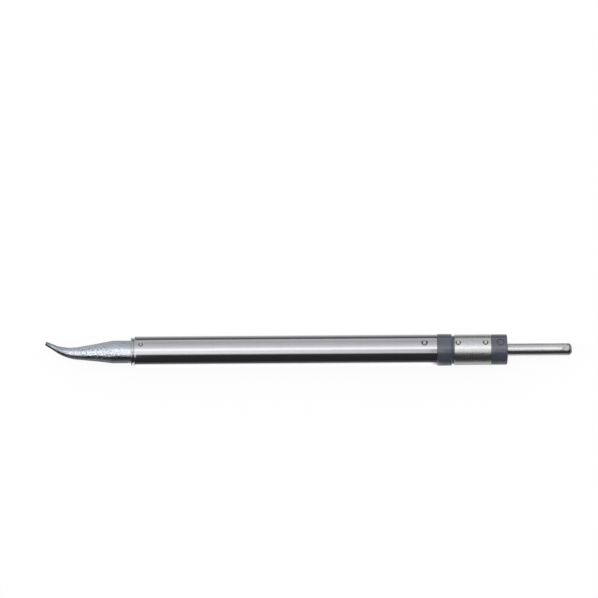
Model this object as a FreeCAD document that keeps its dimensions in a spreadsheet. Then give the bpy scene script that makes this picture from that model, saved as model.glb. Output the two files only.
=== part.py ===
"""A bent soldering cartridge: a plated bit in a long steel barrel, with a two-contact plug behind it.

The cartridge lies along X on the plane Z = 0, with its working end towards -X and its bend towards +Y.
Every piece is drawn in a frame of its own, with the cartridge's axis along X, and is then placed.
Places that end in "_at" are measured along that axis from the front face of the barrel to the rear.
All lengths are in millimetres and all angles in degrees.
"""
import FreeCAD, Part

import math
import os

import Sketcher

V = FreeCAD.Vector

SIZES = [
    ("fit_gap", 0.02, "clearance between pieces that seat on each other"),
    # Barrel
    ("barrel_length", 56.6, "front face to rear face"),
    ("barrel_dia", 5.8, "outside"),
    ("barrel_wall", 0.25, "tube wall"),
    ("mark_angle", 29.0, "turn of the row of dimples from straight up towards +Y"),
    ("front_dimple_place", 1.2, "front dimple's middle behind the barrel's front face"),
    ("front_dimple_width", 0.84, "across its rim"),
    ("front_dimple_depth", 0.16, "below the barrel's surface"),
    ("rear_dimple_setback", 2.4, "rear dimple's middle ahead of the barrel's rear face"),
    ("rear_dimple_width", 1.24, "across its rim"),
    ("rear_dimple_depth", 0.2, "below the barrel's surface"),
    # Bit
    ("bit_reach", 16.75, "barrel's front face to the furthest point of the working end"),
    ("bit_cone_place", 4.1, "barrel's front face to the corner where the cone starts"),
    ("bit_neck_dia", 4.23, "shank from the bush to that corner"),
    ("bit_neck_taper", 0.5, "length of the step from the bush's bore down to the neck"),
    ("bit_neck_turn", 0.2, "length over which the cone turns to its slope"),
    ("bit_waist_dia", 3.24, "halfway along the straight stretch of the cone"),
    ("bit_bend_dia", 2.4, "where the bend starts"),
    ("bit_tail_dia", 1.08, "where the bend ends"),
    ("bit_bend_swell", 0.05, "cone's surface above a straight taper, halfway round the bend"),
    ("bit_end_dia", 0.74, "flat of the working end"),
    ("set_angle", 2.0, "slope of the cone away from the bend"),
    ("bend_angle", 27.0, "direction of the working end"),
    ("bend_radius", 8.8, "bend of the cone's middle line"),
    ("bend_tail", 2.1, "straight length past the bend"),
    ("bit_flange_length", 0.6, "shoulder behind the bush"),
    # Bush that centres the bit in the barrel
    ("bush_wall", 0.41, "between the barrel and the bit's shank"),
    ("bush_insert", 2.6, "length inside the barrel"),
    ("bush_lip_length", 0.46, "width of the bead that shows"),
    ("bush_lip_step", 0.24, "bead's surface below the barrel's"),
    ("bush_groove_width", 0.16, "between the bead and the barrel's face"),
    ("bush_groove_depth", 0.14, "below the insert's surface"),
    ("bush_edge", 0.1, "chamfer of the bead"),
    # Heater
    ("lead_room", 0.9, "bit's shoulder to the first turn of the coil"),
    ("coil_turns", 3, "turns of flat wire"),
    ("coil_pitch", 3.4, "from turn to turn"),
    ("wire_width", 2.1, "along the axis"),
    ("wire_thickness", 0.3, "across the winding"),
    ("alloy_wall", 0.24, "magnetic sleeve on the bit's core"),
    ("former_wall", 0.18, "insulating tube under the coil"),
    ("former_overhang", 0.3, "former past the last turn"),
    ("jacket_wall", 0.12, "insulating tube over the coil"),
    ("shield_wall", 0.22, "magnetic screen round the heater"),
    ("lead_chamber", 1.6, "last turn to the end disc"),
    ("lead_turn_place", 1.1, "last turn to the middle of the lead where it runs inwards"),
    ("lead_bend", 0.4, "bend radius of the rear lead"),
    ("disc_length", 2.2, "end disc"),
    ("disc_bore_slack", 0.1, "room round the lead in the end disc"),
    # Conductor along the barrel
    ("crimp_wall", 0.28, "ferrule round the rod"),
    ("crimp_length", 4.0, "ferrule"),
    ("conductor_dia", 1.1, "rod"),
    ("liner_wall", 0.42, "insulating sleeve over the rod"),
    ("spacer_length", 3.0, "each bead that carries the sleeve"),
    # Plug moulding
    ("spigot_length", 9.0, "length inside the barrel"),
    ("front_collar_length", 2.75, "barrel's rear face to the neck"),
    ("front_collar_rise", 0.085, "collar's surface above the barrel's"),
    ("front_collar_edge", 0.2, "chamfers of both rims"),
    ("collar_draft", 0.02, "fall of each collar's surface towards the rear"),
    ("neck_gap", 0.46, "bare neck ahead of the contact ring"),
    ("rear_collar_length", 2.96, "at its rim"),
    ("rear_collar_drop", 0.04, "collar's surface below the barrel's"),
    ("rear_collar_edge", 0.12, "chamfer of the rear rim"),
    ("rear_face_rise", 0.18, "rise of the rear face from the rim to the pin"),
    ("circle_place", 1.7, "moulded circle's middle behind the ring"),
    ("circle_dia", 1.45, "moulded circle, outside"),
    ("circle_line", 0.2, "width of its groove"),
    ("circle_depth", 0.16, "groove's floor below the crown of the collar"),
    # Contact ring
    ("ring_length", 6.86, "along the axis"),
    ("ring_wall", 0.18, "sheet"),
    ("ring_drop", 0.03, "ring's surface below the barrel's"),
    ("seam_gap", 0.12, "butt seam"),
    ("seam_angle", 119.0, "seam from the row of dimples"),
    ("ring_dimple_front", 0.68, "first dimple's middle behind the ring's front edge"),
    ("ring_dimple_rear", 1.05, "second dimple's middle ahead of the ring's rear edge"),
    ("ring_dimple_width", 1.08, "across its rim"),
    # Strap from the barrel to the contact ring
    ("strap_width", 1.4, "strip"),
    ("strap_thickness", 0.15, "strip"),
    ("strap_lead", 2.4, "strip ahead of the barrel's rear dimple"),
    ("strap_tail", 0.7, "strip behind the ring's rear dimple"),
    # Contact pin
    ("pin_reach", 12.0, "behind the plug's rear face"),
    ("pin_dia", 2.32, "free end"),
    ("pin_nose", 0.8, "rounding of the free end"),
    ("pin_root_dia", 2.8, "root held by the moulding"),
    ("pin_root_place", 3.5, "root's front face behind the front collar"),
    ("pin_inset", 1.6, "pin's front end inside the spigot"),
    ("pin_cup_depth", 2.5, "cup that takes the rod"),
]

# What follows from the sizes, each from the sizes and the lines above it.
FITS = [
    ("barrel_radius", "sizes.barrel_dia / 2"),
    ("bore_radius", "barrel_radius - sizes.barrel_wall"),
    ("insert_radius", "bore_radius - sizes.fit_gap"),
    ("shank_radius", "insert_radius - sizes.bush_wall - sizes.fit_gap"),
    ("shield_radius", "insert_radius - sizes.shield_wall"),
    ("in_shield_radius", "shield_radius - sizes.fit_gap"),
    ("jacket_radius", "in_shield_radius - sizes.jacket_wall"),
    ("coil_radius", "jacket_radius - sizes.fit_gap - sizes.wire_thickness"),
    ("former_radius", "coil_radius - sizes.fit_gap - sizes.former_wall"),
    ("alloy_radius", "former_radius - sizes.fit_gap - sizes.alloy_wall"),
    ("core_radius", "alloy_radius - sizes.fit_gap"),
    ("lead_side", "sizes.wire_thickness - sizes.fit_gap"),
    ("lead_bore_radius", "lead_side * sqrt(5) / 2 + sizes.fit_gap"),
    ("rod_bore_radius", "sizes.conductor_dia / 2 + sizes.fit_gap"),
    ("liner_radius", "rod_bore_radius + sizes.liner_wall"),
    ("liner_bore_radius", "liner_radius + sizes.fit_gap"),
    ("pin_bore_radius", "sizes.pin_root_dia / 2 + sizes.fit_gap"),
    ("front_collar_radius", "barrel_radius + sizes.front_collar_rise"),
    ("rear_collar_radius", "barrel_radius - sizes.rear_collar_drop"),
    ("rear_rim_radius", "rear_collar_radius - sizes.collar_draft - sizes.rear_collar_edge"),
    ("ring_radius", "barrel_radius - sizes.ring_drop"),
    ("ring_bore_radius", "ring_radius - sizes.ring_wall"),
    ("neck_radius", "ring_bore_radius - sizes.fit_gap"),
    ("axis_height", "max(front_collar_radius; rear_collar_radius; barrel_radius)"),
    ("lip_out", "sizes.bush_lip_length + sizes.bush_groove_width"),
    ("seat_at", "sizes.bush_insert + sizes.fit_gap"),
    ("shoulder_at", "seat_at + sizes.bit_flange_length"),
    ("heater_at", "shoulder_at + sizes.fit_gap"),
    ("coil_at", "shoulder_at + sizes.lead_room"),
    ("coil_end_at", "coil_at + sizes.coil_turns * sizes.coil_pitch + sizes.wire_width"),
    ("disc_at", "coil_end_at + sizes.lead_chamber"),
    ("crimp_at", "disc_at + sizes.disc_length + sizes.fit_gap"),
    ("rod_at", "crimp_at + sizes.crimp_length / 2"),
    ("liner_at", "crimp_at + sizes.crimp_length + sizes.fit_gap"),
    ("plug_at", "sizes.barrel_length - sizes.spigot_length"),
    ("pin_at", "plug_at + sizes.pin_inset"),
    ("neck_at", "sizes.barrel_length + sizes.front_collar_length"),
    ("ring_at", "neck_at + sizes.neck_gap"),
    ("rear_collar_at", "ring_at + sizes.ring_length + sizes.fit_gap"),
    ("rear_rim_at", "rear_collar_at + sizes.rear_collar_length"),
    ("pin_end_at", "rear_rim_at + sizes.rear_face_rise + sizes.pin_reach"),
    ("middle_at", "(pin_end_at - sizes.bit_reach) / 2"),
    ("rear_dimple_at", "sizes.barrel_length - sizes.rear_dimple_setback"),
    ("ring_dimple_1_at", "ring_at + sizes.ring_dimple_front"),
    ("ring_dimple_2_at", "ring_at + sizes.ring_length - sizes.ring_dimple_rear"),
    ("strap_at", "rear_dimple_at - sizes.strap_lead"),
    ("strap_length", "ring_dimple_2_at + sizes.strap_tail - strap_at"),
    ("strap_top", "bore_radius - sizes.rear_dimple_depth - sizes.fit_gap"),
    ("strap_floor", "strap_top - sizes.strap_thickness"),
    ("ring_dimple_depth", "ring_bore_radius - strap_top - sizes.fit_gap"),
    ("tail_run", "sizes.bend_tail * cos(sizes.bend_angle) + sizes.bit_end_dia / 2 * sin(sizes.bend_angle)"),
    ("bend_run", "sizes.bend_radius * (sin(sizes.set_angle) + sin(sizes.bend_angle))"),
    ("cone_run", "sizes.bit_reach - sizes.bit_cone_place - bend_run - tail_run"),
    ("cone_drop", "cone_run * tan(sizes.set_angle)"),
]

MARKS = "-sizes.mark_angle"
BEND_STEPS = 5
NOSE_TURNS = (90, 45, 0)
SPACERS = ("spacer_front", "spacer_rear")

# Each dimple: surface and wall of its tube, then its own width and depth.
FRONT_DIMPLE = (
    "fits.barrel_radius", "sizes.barrel_wall", "sizes.front_dimple_width", "sizes.front_dimple_depth",
)
REAR_DIMPLE = (
    "fits.barrel_radius", "sizes.barrel_wall", "sizes.rear_dimple_width", "sizes.rear_dimple_depth",
)
RING_DIMPLE = (
    "fits.ring_radius", "sizes.ring_wall", "sizes.ring_dimple_width", "fits.ring_dimple_depth",
)

doc = FreeCAD.newDocument("soldering_cartridge")
bodies = []


def fill_sheet(name, rows):
    """A spreadsheet with a name, a value or formula, and sometimes a meaning, in each row."""
    sheet = doc.addObject("Spreadsheet::Sheet", name)
    for row, (alias, content, *meaning) in enumerate(rows, start=1):
        sheet.set(f"A{row}", alias)
        sheet.set(f"B{row}", f"={content}" if isinstance(content, str) else str(content))
        sheet.set(f"C{row}", "".join(meaning))
        sheet.setAlias(f"B{row}", alias)
    doc.recompute()
    return sheet


def number(formula):
    """The present value of a formula."""
    found = sizes.evalExpression(formula)
    return float(getattr(found, "Value", found))


def origin_part(body, role):
    """One of the body's own origin planes or axes."""
    return next(o for o in body.Origin.OriginFeatures if o.Role == role)


def new_body(name, start_at, turn="0", about=V(1, 0, 0)):
    """An empty body whose own origin lies on the cartridge's axis at a place along it."""
    body = doc.addObject("PartDesign::Body", name)
    body.Label = name
    body.Placement = FreeCAD.Placement(V(), FreeCAD.Rotation(about, 1))
    body.setExpression("Placement.Base.x", f"{start_at} - fits.middle_at")
    body.setExpression("Placement.Base.z", "fits.axis_height")
    body.setExpression("Placement.Rotation.Angle", turn)
    bodies.append(body)
    return body


def new_sketch(body, name, plane):
    """A sketch on one of the body's own origin planes."""
    sketch = body.newObject("Sketcher::SketchObject", name)
    sketch.AttachmentSupport = [(origin_part(body, plane), "")]
    sketch.MapMode = "FlatFace"
    return sketch


def set_size(sketch, formula, *constraint):
    """A constraint of a sketch whose value is a formula."""
    index = sketch.addConstraint(Sketcher.Constraint(*constraint, number(formula)))
    sketch.setExpression(f"Constraints[{index}]", formula)


def hold_point(sketch, geometry, end, along, up):
    """Ties a sketch point to two coordinates, each a formula."""
    for kind, formula, axis in (("DistanceX", along, -2), ("DistanceY", up, -1)):
        if formula == "0":
            sketch.addConstraint(Sketcher.Constraint("PointOnObject", geometry, end, axis))
        else:
            set_size(sketch, formula, kind, -1, 1, geometry, end)


def outline(body, name, plane, corners):
    """A closed sketch of straight lines through corners given as formulas."""
    sketch = new_sketch(body, name, plane)
    points = [V(number(along), number(up), 0) for along, up in corners]
    count = len(points)
    for i, start in enumerate(points):
        sketch.addGeometry(Part.LineSegment(start, points[(i + 1) % count]))
    for i, (along, up) in enumerate(corners):
        sketch.addConstraint(Sketcher.Constraint("Coincident", i - 1 if i else count - 1, 2, i, 1))
        hold_point(sketch, i, 1, along, up)
    return sketch


def circles(body, name, plane, radii, along="0"):
    """A sketch of circles round one point of its horizontal axis."""
    sketch = new_sketch(body, name, plane)
    for i, radius in enumerate(radii):
        sketch.addGeometry(Part.Circle(V(number(along), 0, 0), V(0, 0, 1), number(radius)))
        set_size(sketch, radius, "Radius", i)
        hold_point(sketch, i, 3, along, "0")
    return sketch


def turn_outline(body, name, corners, plane="XZ_Plane"):
    """A full turn about the axis of an outline whose corners are (along, radius)."""
    sketch = outline(body, name + "_outline", plane, corners)
    turned = body.newObject("PartDesign::Revolution", name)
    turned.Profile = sketch
    turned.ReferenceAxis = (sketch, ["H_Axis"])
    turned.Angle = 360
    doc.recompute()
    return turned


def add_tube(name, start_at, length, inner, outer):
    """A plain tube in a body of its own."""
    body = new_body(name, start_at)
    turn_outline(body, name + "_turn", [("0", inner), (length, inner), (length, outer), ("0", outer)])


def add_primitive(body, kind, name, **formulas):
    """A primitive feature with each of its values set by a formula."""
    feature = body.newObject("PartDesign::" + kind, name)
    for key, formula in formulas.items():
        feature.setExpression(key.replace("At", "Placement.Base."), formula)
    return feature


def dimple_cone(surface, wall, width, depth, out, top):
    """A dimple's cone with a flat floor, moved outwards by a wall's share: floor, height and both radii."""
    floor = f"({surface} - {depth} - {out} * {wall})"
    floor_radius = f"({width} / 4 + {out} * {wall} / 2)"
    height = f"({top} - {floor})"
    return {
        "Atz": floor,
        "Height": height,
        "Radius1": floor_radius,
        "Radius2": f"{floor_radius} + {height} * {width} / 4 / {depth}",
    }


def press_dimple(body, name, along, surface, wall, width, depth):
    """A dimple that keeps the wall: a hollow outside, and a bump inside that starts in the wall."""
    root = f"({surface} - {wall} * 7 / 8)"
    bump = dimple_cone(surface, wall, width, depth, 1, root)
    hollow = dimple_cone(surface, wall, width, depth, 0, f"({surface} + {wall})")
    add_primitive(body, "AdditiveCone", name + "_bump", Atx=along, **bump)
    add_primitive(body, "SubtractiveCone", name + "_hollow", Atx=along, **hollow)
    doc.recompute()


def seat_dimple(body, name, along, surface, wall, width, depth):
    """A hollow that takes the bump of a pressed dimple."""
    seat = dimple_cone(f"({surface} - sizes.fit_gap)", wall, width, depth, 1, surface)
    seat["Radius1"] += " + sizes.fit_gap"
    seat["Radius2"] += " + sizes.fit_gap"
    add_primitive(body, "SubtractiveCone", name, Atx=along, **seat)
    doc.recompute()


def build_barrel():
    """The long steel tube, pressed into the bush in front and into the plug behind."""
    body = new_body("barrel", "0", MARKS)
    length = "sizes.barrel_length"
    turn_outline(body, "barrel_turn", [
        ("0", "fits.bore_radius"),
        (length, "fits.bore_radius"),
        (length, "fits.barrel_radius"),
        ("0", "fits.barrel_radius"),
    ])
    press_dimple(body, "front_dimple", "sizes.front_dimple_place", *FRONT_DIMPLE)
    press_dimple(body, "rear_dimple", "fits.rear_dimple_at", *REAR_DIMPLE)


def build_bush():
    """The bush at the barrel's mouth: a bead that shows, a groove, and an insert round the bit."""
    body = new_body("bit_bush", "-fits.lip_out", MARKS)
    edge = "sizes.bush_edge"
    bore = "(fits.shank_radius + sizes.fit_gap)"
    lip = "(fits.barrel_radius - sizes.bush_lip_step)"
    groove = "(fits.insert_radius - sizes.bush_groove_depth)"
    insert = "fits.lip_out + sizes.fit_gap"
    end = "fits.lip_out + sizes.bush_insert"
    turn_outline(body, "bush_turn", [
        ("0", bore),
        (end, bore),
        (end, "fits.insert_radius"),
        (insert, "fits.insert_radius"),
        (insert, groove),
        ("sizes.bush_lip_length", groove),
        ("sizes.bush_lip_length", lip),
        (edge, lip),
        ("0", f"{lip} - {edge}"),
    ])
    seat_dimple(body, "bush_seat", "fits.lip_out + sizes.front_dimple_place", *FRONT_DIMPLE)


def bend_place(corner, heading):
    """Where the cone's middle line has a heading within the bend, in the bit's own frame."""
    along = f"{corner} + fits.cone_run + sizes.bend_radius * (sin({heading}) + sin(sizes.set_angle))"
    across = f"sizes.bend_radius * (cos(sizes.set_angle) - cos({heading})) - fits.cone_drop"
    return along, across


def cone_stations(corner):
    """Radius, two coordinates and heading of each section of the cone, from its corner to its end."""
    turn = "sizes.bit_neck_turn"
    turn_drop = f"-{turn} * tan(sizes.set_angle)"
    neck = "sizes.bit_neck_dia / 2"
    waist = "sizes.bit_waist_dia / 2"
    waist_run = "fits.cone_run / 2"
    turned = f"{neck} + ({waist} - {neck}) * {turn} / ({waist_run})"
    slope = "-sizes.set_angle"
    stations = [
        (neck, corner, "0", "0"),
        (turned, f"{corner} + {turn}", turn_drop, slope),
        (waist, f"{corner} + {waist_run}", "-fits.cone_drop / 2", slope),
    ]
    for step in range(BEND_STEPS + 1):
        share = f"{step} / {BEND_STEPS}"
        heading = f"((sizes.set_angle + sizes.bend_angle) * {share} - sizes.set_angle)"
        taper = f"(sizes.bit_bend_dia * (1 - {share}) + sizes.bit_tail_dia * {share}) / 2"
        swell = f"4 * sizes.bit_bend_swell * {share} * (1 - {share})"
        stations.append((f"{taper} + {swell}", *bend_place(corner, heading), heading))
    bend_along, bend_across = bend_place(corner, "sizes.bend_angle")
    end_along = f"{bend_along} + sizes.bend_tail * cos(sizes.bend_angle)"
    end_across = f"{bend_across} + sizes.bend_tail * sin(sizes.bend_angle)"
    stations.append(("sizes.bit_end_dia / 2", end_along, end_across, "sizes.bend_angle"))
    return stations


def cone_section(body, name, radius, along, across, heading):
    """A round section across the cone's middle line."""
    ring = circles(body, name, "YZ_Plane", [radius])
    ring.AttachmentOffset = FreeCAD.Placement(V(), FreeCAD.Rotation(V(0, 1, 0), 1))
    ring.setExpression("AttachmentOffset.Base.x", across)
    ring.setExpression("AttachmentOffset.Base.z", along)
    ring.setExpression("AttachmentOffset.Rotation.Angle", heading)
    return ring


def build_bit():
    """The plated copper bit: a bent cone, a shank, a shoulder and the core that the heater warms.

    Its own frame looks forwards from the rear end of the core, and is turned round to be placed.
    """
    body = new_body("soldering_bit", "fits.coil_end_at", "180", V(0, 1, 0))
    shoulder = "(fits.coil_end_at - fits.shoulder_at)"
    seat = "(fits.coil_end_at - fits.seat_at)"
    mouth = "(fits.coil_end_at + fits.lip_out)"
    corner = "(fits.coil_end_at + sizes.bit_cone_place)"
    turn_outline(body, "bit_turn", [
        ("0", "0"),
        (corner, "0"),
        (corner, "sizes.bit_neck_dia / 2"),
        (f"{mouth} + sizes.bit_neck_taper", "sizes.bit_neck_dia / 2"),
        (mouth, "fits.shank_radius"),
        (seat, "fits.shank_radius"),
        (seat, "fits.in_shield_radius"),
        (shoulder, "fits.in_shield_radius"),
        (shoulder, "fits.core_radius"),
        ("0", "fits.core_radius"),
    ], "XY_Plane")
    rings = [
        cone_section(body, f"cone_section_{i}", *station)
        for i, station in enumerate(cone_stations(corner), start=1)
    ]
    doc.recompute()
    cone = body.newObject("PartDesign::AdditiveLoft", "bit_cone")
    cone.Profile = rings[0]
    cone.Sections = rings[1:]
    cone.Ruled = True
    doc.recompute()


def build_heater_tubes():
    """What surrounds the core: magnetic sleeve, former, jacket and screen."""
    start = "fits.heater_at"
    add_tube(
        "alloy_sleeve", start, f"fits.coil_end_at - {start}",
        "fits.alloy_radius", "fits.alloy_radius + sizes.alloy_wall",
    )
    add_tube(
        "coil_former", start, f"fits.coil_end_at + sizes.former_overhang - {start}",
        "fits.former_radius", "fits.former_radius + sizes.former_wall",
    )
    add_tube(
        "coil_jacket", start, f"fits.disc_at - sizes.fit_gap - {start}",
        "fits.jacket_radius", "fits.in_shield_radius",
    )
    add_tube(
        "shield_tube", "fits.seat_at", "fits.disc_at - sizes.fit_gap - fits.seat_at",
        "fits.shield_radius", "fits.insert_radius",
    )


def build_coil():
    """Flat wire wound on the former, with both of its end faces in the body's XZ plane."""
    body = new_body("heater_coil", "fits.coil_at")
    outer = "fits.coil_radius + sizes.wire_thickness"
    section = outline(body, "wire_section", "XZ_Plane", [
        ("0", "fits.coil_radius"),
        ("sizes.wire_width", "fits.coil_radius"),
        ("sizes.wire_width", outer),
        ("0", outer),
    ])
    winding = body.newObject("PartDesign::AdditiveHelix", "winding")
    winding.Profile = section
    winding.ReferenceAxis = (section, ["H_Axis"])
    winding.Mode = "pitch-turns-angle"
    winding.setExpression("Pitch", "sizes.coil_pitch")
    winding.setExpression("Turns", "sizes.coil_turns")
    doc.recompute()


def build_front_lead():
    """Start of the winding: a bar from the first turn's end face to the bit's shoulder."""
    body = new_body("coil_lead_front", "fits.shoulder_at")
    length = "sizes.lead_room + sizes.wire_width"
    side = outline(body, "front_lead_side", "XZ_Plane", [
        ("0", "fits.coil_radius"),
        (length, "fits.coil_radius"),
        (length, "fits.coil_radius + fits.lead_side"),
        ("0", "fits.coil_radius + fits.lead_side"),
    ])
    bar = body.newObject("PartDesign::Pad", "front_lead")
    bar.Profile = side
    bar.setExpression("Length", "fits.lead_side")
    bar.Reversed = True
    doc.recompute()


def rear_lead_path(body, height):
    """The rear lead's middle line: along the winding, in to the axis and along it to the ferrule."""
    turn_x = "sizes.wire_width + sizes.lead_turn_place"
    end_x = "fits.rod_at - sizes.fit_gap - fits.coil_end_at + sizes.wire_width"
    bend = number("sizes.lead_bend")
    turn = number(turn_x)
    top = number(height)
    outer_bend = Part.Circle(V(turn - bend, top - bend, 0), V(0, 0, 1), bend)
    inner_bend = Part.Circle(V(turn + bend, bend, 0), V(0, 0, 1), bend)
    path = new_sketch(body, "rear_lead_path", "XZ_Plane")
    path.addGeometry(Part.LineSegment(V(0, top, 0), V(turn - bend, top, 0)))
    path.addGeometry(Part.ArcOfCircle(outer_bend, 0, math.pi / 2))
    path.addGeometry(Part.LineSegment(V(turn, top - bend, 0), V(turn, bend, 0)))
    path.addGeometry(Part.ArcOfCircle(inner_bend, math.pi, math.pi * 3 / 2))
    path.addGeometry(Part.LineSegment(V(turn + bend, 0, 0), V(number(end_x), 0, 0)))
    for joint in ((0, 2, 1, 2), (1, 1, 2, 1), (2, 2, 3, 1), (3, 2, 4, 1)):
        path.addConstraint(Sketcher.Constraint("Tangent", *joint))
    path.addConstraint(Sketcher.Constraint("Horizontal", 0))
    path.addConstraint(Sketcher.Constraint("Vertical", 2))
    path.addConstraint(Sketcher.Constraint("Horizontal", 4))
    path.addConstraint(Sketcher.Constraint("Equal", 1, 3))
    set_size(path, "sizes.lead_bend", "Radius", 1)
    set_size(path, turn_x, "DistanceX", -1, 1, 2, 1)
    hold_point(path, 0, 1, "0", height)
    hold_point(path, 4, 2, end_x, "0")
    return path


def build_rear_lead():
    """End of the winding: a square wire bent in to the axis, through the end disc to the ferrule."""
    body = new_body("coil_lead_rear", "fits.coil_end_at - sizes.wire_width")
    path = rear_lead_path(body, "fits.coil_radius + fits.lead_side / 2")
    section = outline(body, "rear_lead_section", "YZ_Plane", [
        ("-fits.lead_side", "fits.coil_radius"),
        ("0", "fits.coil_radius"),
        ("0", "fits.coil_radius + fits.lead_side"),
        ("-fits.lead_side", "fits.coil_radius + fits.lead_side"),
    ])
    doc.recompute()
    wire = body.newObject("PartDesign::AdditivePipe", "rear_lead")
    wire.Profile = section
    wire.Spine = (path, [])
    doc.recompute()


def build_end_disc():
    """Ceramic disc that closes the heater behind its screen."""
    bore = "fits.lead_bore_radius + sizes.disc_bore_slack"
    add_tube("heater_end_disc", "fits.disc_at", "sizes.disc_length", bore, "fits.insert_radius")


def build_conductor():
    """Ferrule, rod, sleeve and the beads that carry them along the barrel."""
    body = new_body("lead_crimp", "fits.crimp_at")
    step = "sizes.crimp_length / 2 - sizes.fit_gap"
    outer = "fits.rod_bore_radius + sizes.crimp_wall"
    turn_outline(body, "crimp_turn", [
        ("0", "fits.lead_bore_radius"),
        (step, "fits.lead_bore_radius"),
        (step, "fits.rod_bore_radius"),
        ("sizes.crimp_length", "fits.rod_bore_radius"),
        ("sizes.crimp_length", outer),
        ("0", outer),
    ])
    body = new_body("inner_conductor", "fits.rod_at")
    length = "fits.pin_at + sizes.pin_cup_depth - sizes.fit_gap - fits.rod_at"
    turn_outline(body, "rod_turn", [
        ("0", "0"),
        (length, "0"),
        (length, "sizes.conductor_dia / 2"),
        ("0", "sizes.conductor_dia / 2"),
    ])
    add_tube(
        "conductor_sleeve", "fits.liner_at", "fits.pin_at - 2 * sizes.fit_gap - fits.liner_at",
        "fits.rod_bore_radius", "fits.liner_radius",
    )
    for i, name in enumerate(SPACERS, start=1):
        share = f"{i} / {len(SPACERS) + 1}"
        place = f"fits.liner_at + (fits.plug_at - fits.liner_at) * {share} - sizes.spacer_length / 2"
        add_tube(name, place, "sizes.spacer_length", "fits.liner_bore_radius", "fits.insert_radius")


def plug_place(place):
    """A place along the cartridge, in the plug's own frame."""
    return f"({place} - fits.plug_at)"


def cut_circle(body):
    """The circle moulded in the crown of the rear collar."""
    middle = f"{plug_place('fits.rear_collar_at')} + sizes.circle_place"
    ring = circles(
        body, "moulded_circle", "XY_Plane",
        ["sizes.circle_dia / 2", "sizes.circle_dia / 2 - sizes.circle_line"], middle,
    )
    ring.AttachmentOffset = FreeCAD.Placement(V(0, 0, 1), FreeCAD.Rotation())
    ring.setExpression("AttachmentOffset.Base.z", "fits.rear_collar_radius - sizes.circle_depth")
    doc.recompute()
    groove = body.newObject("PartDesign::Pocket", "circle_groove")
    groove.Profile = ring
    groove.Reversed = True
    groove.setExpression("Length", "2 * sizes.circle_depth")
    doc.recompute()


def build_plug():
    """The plug's moulding: spigot, front collar, seat of the contact ring, and rear collar."""
    body = new_body("connector_body", "fits.plug_at", MARKS)
    gap = "sizes.fit_gap"
    root = f"{plug_place('fits.neck_at')} + sizes.pin_root_place - {gap}"
    front_collar = f"sizes.spigot_length + {gap}"
    front_edge = "sizes.front_collar_edge"
    neck = plug_place("fits.neck_at")
    neck_rim = "fits.front_collar_radius - sizes.collar_draft"
    rear_collar = plug_place("fits.rear_collar_at")
    rear_rim = plug_place("fits.rear_rim_at")
    turn_outline(body, "plug_turn", [
        ("0", "fits.liner_bore_radius"),
        (root, "fits.liner_bore_radius"),
        (root, "fits.pin_bore_radius"),
        (f"{rear_rim} + sizes.rear_face_rise", "fits.pin_bore_radius"),
        (rear_rim, "fits.rear_rim_radius"),
        (f"{rear_rim} - sizes.rear_collar_edge", "fits.rear_collar_radius - sizes.collar_draft"),
        (rear_collar, "fits.rear_collar_radius"),
        (rear_collar, "fits.neck_radius"),
        (neck, "fits.neck_radius"),
        (neck, f"{neck_rim} - {front_edge}"),
        (f"{neck} - {front_edge}", neck_rim),
        (f"{front_collar} + {front_edge}", "fits.front_collar_radius"),
        (front_collar, f"fits.front_collar_radius - {front_edge}"),
        (front_collar, "fits.insert_radius"),
        ("0", "fits.insert_radius"),
    ])
    for name, channel_start, channel_end, top in (
        ("strap_slot", "fits.strap_at", "fits.strap_at + fits.strap_length", "fits.strap_top"),
        ("barrel_channel", "fits.strap_at", "sizes.barrel_length", "fits.insert_radius"),
        ("ring_channel", "fits.ring_at", "fits.strap_at + fits.strap_length", "fits.neck_radius"),
    ):
        add_primitive(
            body, "SubtractiveBox", name,
            Length=f"{channel_end} - ({channel_start}) + 2 * {gap}",
            Width=f"sizes.strap_width + 2 * {gap}",
            Height=f"{top} - fits.strap_floor + 2 * {gap}",
            Atx=f"{plug_place(channel_start)} - {gap}",
            Aty=f"-sizes.strap_width / 2 - {gap}",
            Atz=f"fits.strap_floor - {gap}",
        )
    doc.recompute()
    cut_circle(body)


def build_contact_ring():
    """The rolled ring contact, with a butt seam and two dimples that reach the strap."""
    body = new_body("contact_ring", "fits.ring_at", MARKS)
    length = "sizes.ring_length"
    turn_outline(body, "ring_turn", [
        ("0", "fits.ring_bore_radius"),
        (length, "fits.ring_bore_radius"),
        (length, "fits.ring_radius"),
        ("0", "fits.ring_radius"),
    ])
    seam = add_primitive(
        body, "SubtractiveBox", "seam",
        Length=length,
        Width="sizes.seam_gap",
        Height="fits.ring_radius + sizes.ring_wall",
        Aty="-sizes.seam_gap / 2 * cos(sizes.seam_angle)",
        Atz="-sizes.seam_gap / 2 * sin(sizes.seam_angle)",
    )
    seam.Placement = FreeCAD.Placement(V(), FreeCAD.Rotation(V(1, 0, 0), 1))
    seam.setExpression("Placement.Rotation.Angle", "sizes.seam_angle")
    doc.recompute()
    for i in (1, 2):
        press_dimple(body, f"ring_dimple_{i}", f"fits.ring_dimple_{i}_at - fits.ring_at", *RING_DIMPLE)


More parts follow.
